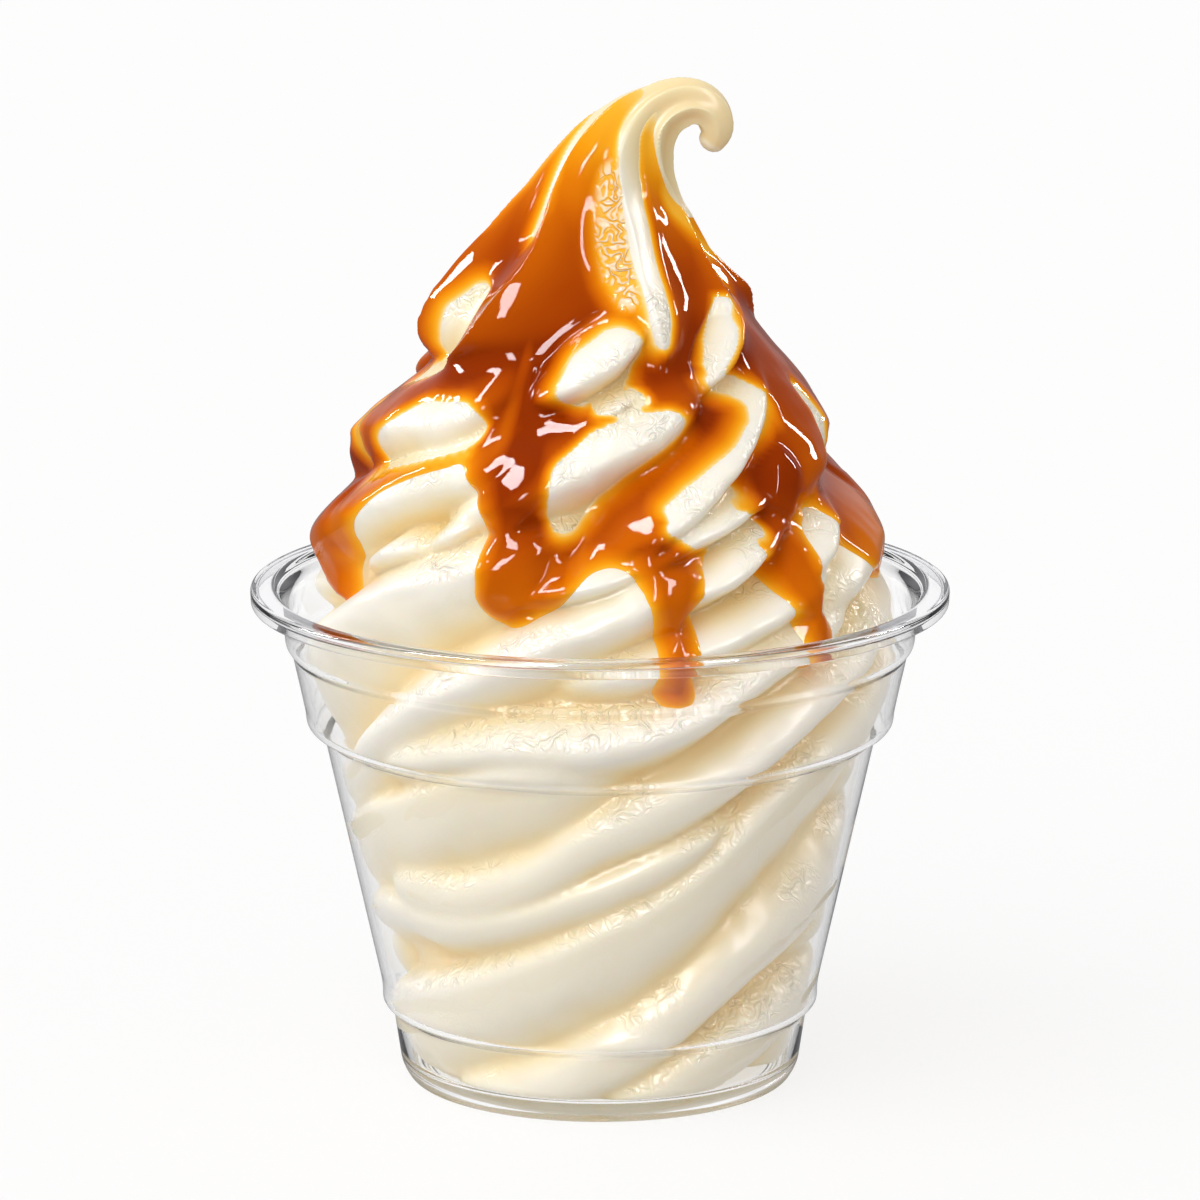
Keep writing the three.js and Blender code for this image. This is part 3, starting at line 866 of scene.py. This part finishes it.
def wrinkled_patches(nodes, links):
    """Where the ice cream's surface has set into wrinkles, 0 to 1."""
    place_on_object = nodes.new("ShaderNodeTexCoord").outputs["Object"]
    patches = nodes.new("ShaderNodeTexNoise")
    patches.inputs["Scale"].default_value = PATCH_SCALE
    links.new(place_on_object, patches.inputs["Vector"])
    patch = map_range(nodes, links, patches.outputs["Fac"], *PATCH_EDGE)
    normal = split_node(nodes, links, nodes.new("ShaderNodeNewGeometry").outputs["Normal"])
    facing_up = map_range(nodes, links, normal["Z"], *UPWARD, WRINKLES_ON_SIDES, 1.0)
    height = split_node(nodes, links, place_on_object)["Z"]
    below_curl = map_range(nodes, links, height, *WRINKLES_END, 1.0, 0.0)
    return multiply(nodes, links, multiply(nodes, links, patch, facing_up), below_curl)


def vanilla_cream():
    settings = {
        "Roughness": 0.3, "Specular_IOR_Level": 0.17, "Subsurface_Weight": 0.3,
        "Subsurface_Radius": (1.0, 0.6, 0.3), "Subsurface_Scale": 0.0025,
    }
    material, nodes, links, shader = new_material("vanilla_cream", **settings)
    # Painted shade: the base colour darkens to tan where the hollow attribute is high, in creases, hollows
    # and on the curl
    hollow = map_range(nodes, links, attribute_node(nodes, "hollow"), *CREAM_HOLLOWS)
    links.new(ramp_node(nodes, links, hollow, CREAM_AND_PAINTED_SHADE_TONES), shader.inputs["Base Color"])
    wrinkle_bump(nodes, links, shader, wrinkled_patches(nodes, links), CREAM_WRINKLE_DEPTH)
    return material


def caramel_sauce():
    settings = {"Roughness": 0.035, "IOR": 1.45, "Specular_IOR_Level": 0.105}
    material, nodes, links, shader = new_material("caramel_sauce", **settings)
    depth = map_range(nodes, links, attribute_node(nodes, "thickness"), 0.0, CARAMEL_DEPTH)
    colour = ramp_node(nodes, links, depth, CARAMEL_TONES)
    wrinkled = attribute_node(nodes, "wrinkled")
    fold = wrinkle_bump(nodes, links, shader, wrinkled, CARAMEL_WRINKLE_DEPTH)
    # Painted glint: the colour turns pale pink on the wrinkles' high folds, as if they caught the light
    raised = map_range(nodes, links, fold, *PAINTED_GLINT_FOLDS, 0.0, PAINTED_GLINT_SHARE)
    skin = multiply(nodes, links, raised, wrinkled)
    links.new(choose(nodes, links, skin, colour, CARAMEL_PAINTED_GLINT), shader.inputs["Base Color"])
    return material


# ---------------------------------------------------------------- stage
FLOOR_SIZE = 6.0
FLOOR_COLOUR = (0.22, 0.22, 0.22, 1)
FLOOR_GLOW = 0.748

# Suns light the object softly and aren't mirrored in it: strength, the side they come from, their
# spread in degrees, and colour
SUNS = {
    "key_sun": (1.28, (-0.56, -0.6, 0.75), 70, (1, 1, 1)),
    "fill_sun": (0.2, (0.8, -0.6, 0.3), 120, (1, 0.92, 0.8)),
    "side_sun": (0.2, (-0.95, -0.3, 0.25), 90, (0.94, 0.97, 1)),
}
# Softboxes show only in glossy surfaces: bearing and elevation in degrees, width, height, radiance
SOFTBOXES = {
    "window_high": (-90, 60, 0.24, 0.30, 80),
    "window_front": (-20, 32, 0.20, 0.56, 80),
    "window_left": (-112, 24, 0.15, 0.40, 74),
    "window_right": (118, 27, 0.11, 0.38, 68),
    "strip_front": (44, 34, 0.11, 0.66, 68),
}
SOFTBOX_AIM = (0, 0, 0.09)
SOFTBOX_DISTANCE = 1.1
SOFTBOX_COLOUR = (1, 0.94, 0.95)

# Soft light by height, and how much weaker and warmer it is from the right
SOFT_LIGHT = [(0.0, (0.61, 0.61, 0.625)), (0.35, (0.70, 0.70, 0.71)), (1.0, (0.94, 0.94, 0.95))]
SHADED_SIDE = [(0.0, (1, 1, 1)), (0.5, (0.93, 0.925, 0.915)), (1.0, (0.80, 0.76, 0.70))]
# What glossy surfaces mirror, from the front to behind the object: low in the room, and above that
LOWER_ROOM = [(0.0, (0.18, 0.18, 0.19)), (0.6, (0.18, 0.18, 0.19)), (1.0, (0.26, 0.26, 0.27))]
UPPER_ROOM = [(0.0, (0.18, 0.18, 0.19)), (0.6, (0.20, 0.20, 0.21)), (1.0, (0.88, 0.88, 0.92))]
UPPER_START_Z = (0.0, 0.14)
PALE_GROUND = (0.95, 0.95, 0.97)
GROUND_START_Z = (-0.62, -0.75)
# What is seen through the clear plastic, from the front to behind the object
BEYOND = [(0.0, (0.70, 0.69, 0.74)), (0.35, (0.74, 0.73, 0.78)), (0.8, (0.97, 0.97, 0.98))]


def make_floor():
    corners = [(-FLOOR_SIZE, -FLOOR_SIZE), (FLOOR_SIZE, -FLOOR_SIZE)]
    corners += [(FLOOR_SIZE, FLOOR_SIZE), (-FLOOR_SIZE, FLOOR_SIZE)]
    mesh = bpy.data.meshes.new("floor")
    mesh.from_pydata([(x, y, 0) for x, y in corners], [], [(0, 1, 2, 3)])
    floor = bpy.data.objects.new("floor", mesh)
    bpy.context.scene.collection.objects.link(floor)
    settings = {
        "Base_Color": FLOOR_COLOUR, "Roughness": 0.9, "Specular_IOR_Level": 0.0,
        "Emission_Color": (1, 1, 1, 1), "Emission_Strength": FLOOR_GLOW,
    }
    mesh.materials.append(new_material("pale_floor", **settings)[0])
    floor.visible_diffuse = False
    floor.visible_glossy = False


def aim(light, target):
    direction = Vector(target) - light.location
    light.rotation_euler = direction.to_track_quat("-Z", "Y").to_euler()


def make_sun(name, strength, side, spread, colour):
    data = bpy.data.lights.new(name, "SUN")
    data.energy = strength
    data.angle = math.radians(spread)
    data.color = colour
    sun = bpy.data.objects.new(name, data)
    sun.location = side
    bpy.context.scene.collection.objects.link(sun)
    aim(sun, (0, 0, 0))
    sun.visible_glossy = False
    sun.visible_transmission = False


def make_softbox(name, bearing, elevation, width, height, radiance):
    turn, rise = math.radians(bearing), math.radians(elevation)
    data = bpy.data.lights.new(name, "AREA")
    data.shape = "RECTANGLE"
    data.size, data.size_y = width, height
    data.energy = radiance * math.pi * width * height
    data.color = SOFTBOX_COLOUR
    box = bpy.data.objects.new(name, data)
    level = math.cos(rise)
    toward = Vector((math.sin(turn) * level, -math.cos(turn) * level, math.sin(rise)))
    box.location = Vector(SOFTBOX_AIM) + SOFTBOX_DISTANCE * toward
    bpy.context.scene.collection.objects.link(box)
    aim(box, SOFTBOX_AIM)
    box.visible_diffuse = False
    box.visible_transmission = False


def soft_light(nodes, links, direction):
    by_height = ramp_node(nodes, links, direction["Z"], SOFT_LIGHT)
    rightward = map_range(nodes, links, direction["X"], -1, 1)
    return tinted(nodes, links, by_height, ramp_node(nodes, links, rightward, SHADED_SIDE))


def mirrored_room(nodes, links, direction):
    lower = ramp_node(nodes, links, direction["Y"], LOWER_ROOM)
    upper = ramp_node(nodes, links, direction["Y"], UPPER_ROOM)
    room = choose(nodes, links, map_range(nodes, links, direction["Z"], *UPPER_START_Z), lower, upper)
    downward = map_range(nodes, links, direction["Z"], *GROUND_START_Z)
    return choose(nodes, links, downward, room, PALE_GROUND)


def make_world():
    """Soft light from all round; mirrors see a dim room with a white backdrop behind the cup."""
    world = bpy.data.worlds.new("studio")
    world.use_nodes = True
    nodes, links = world.node_tree.nodes, world.node_tree.links
    direction = split_node(nodes, links, nodes.new("ShaderNodeTexCoord").outputs["Generated"])
    soft = soft_light(nodes, links, direction)
    room = mirrored_room(nodes, links, direction)
    beyond = ramp_node(nodes, links, direction["Y"], BEYOND)
    rays = nodes.new("ShaderNodeLightPath").outputs
    mirrored = choose(nodes, links, rays["Is Glossy Ray"], soft, room)
    seen = choose(nodes, links, rays["Is Transmission Ray"], mirrored, beyond)
    links.new(seen, nodes["Background"].inputs["Color"])
    bpy.context.scene.world = world


def make_light():
    make_world()
    for name, settings in SUNS.items():
        make_sun(name, *settings)
    for name, settings in SOFTBOXES.items():
        make_softbox(name, *settings)
    bpy.context.scene.view_settings.view_transform = "Standard"


make_floor()
make_light()
make_cup(clear_plastic())
make_soft_serve(vanilla_cream())
make_sauce(caramel_sauce())
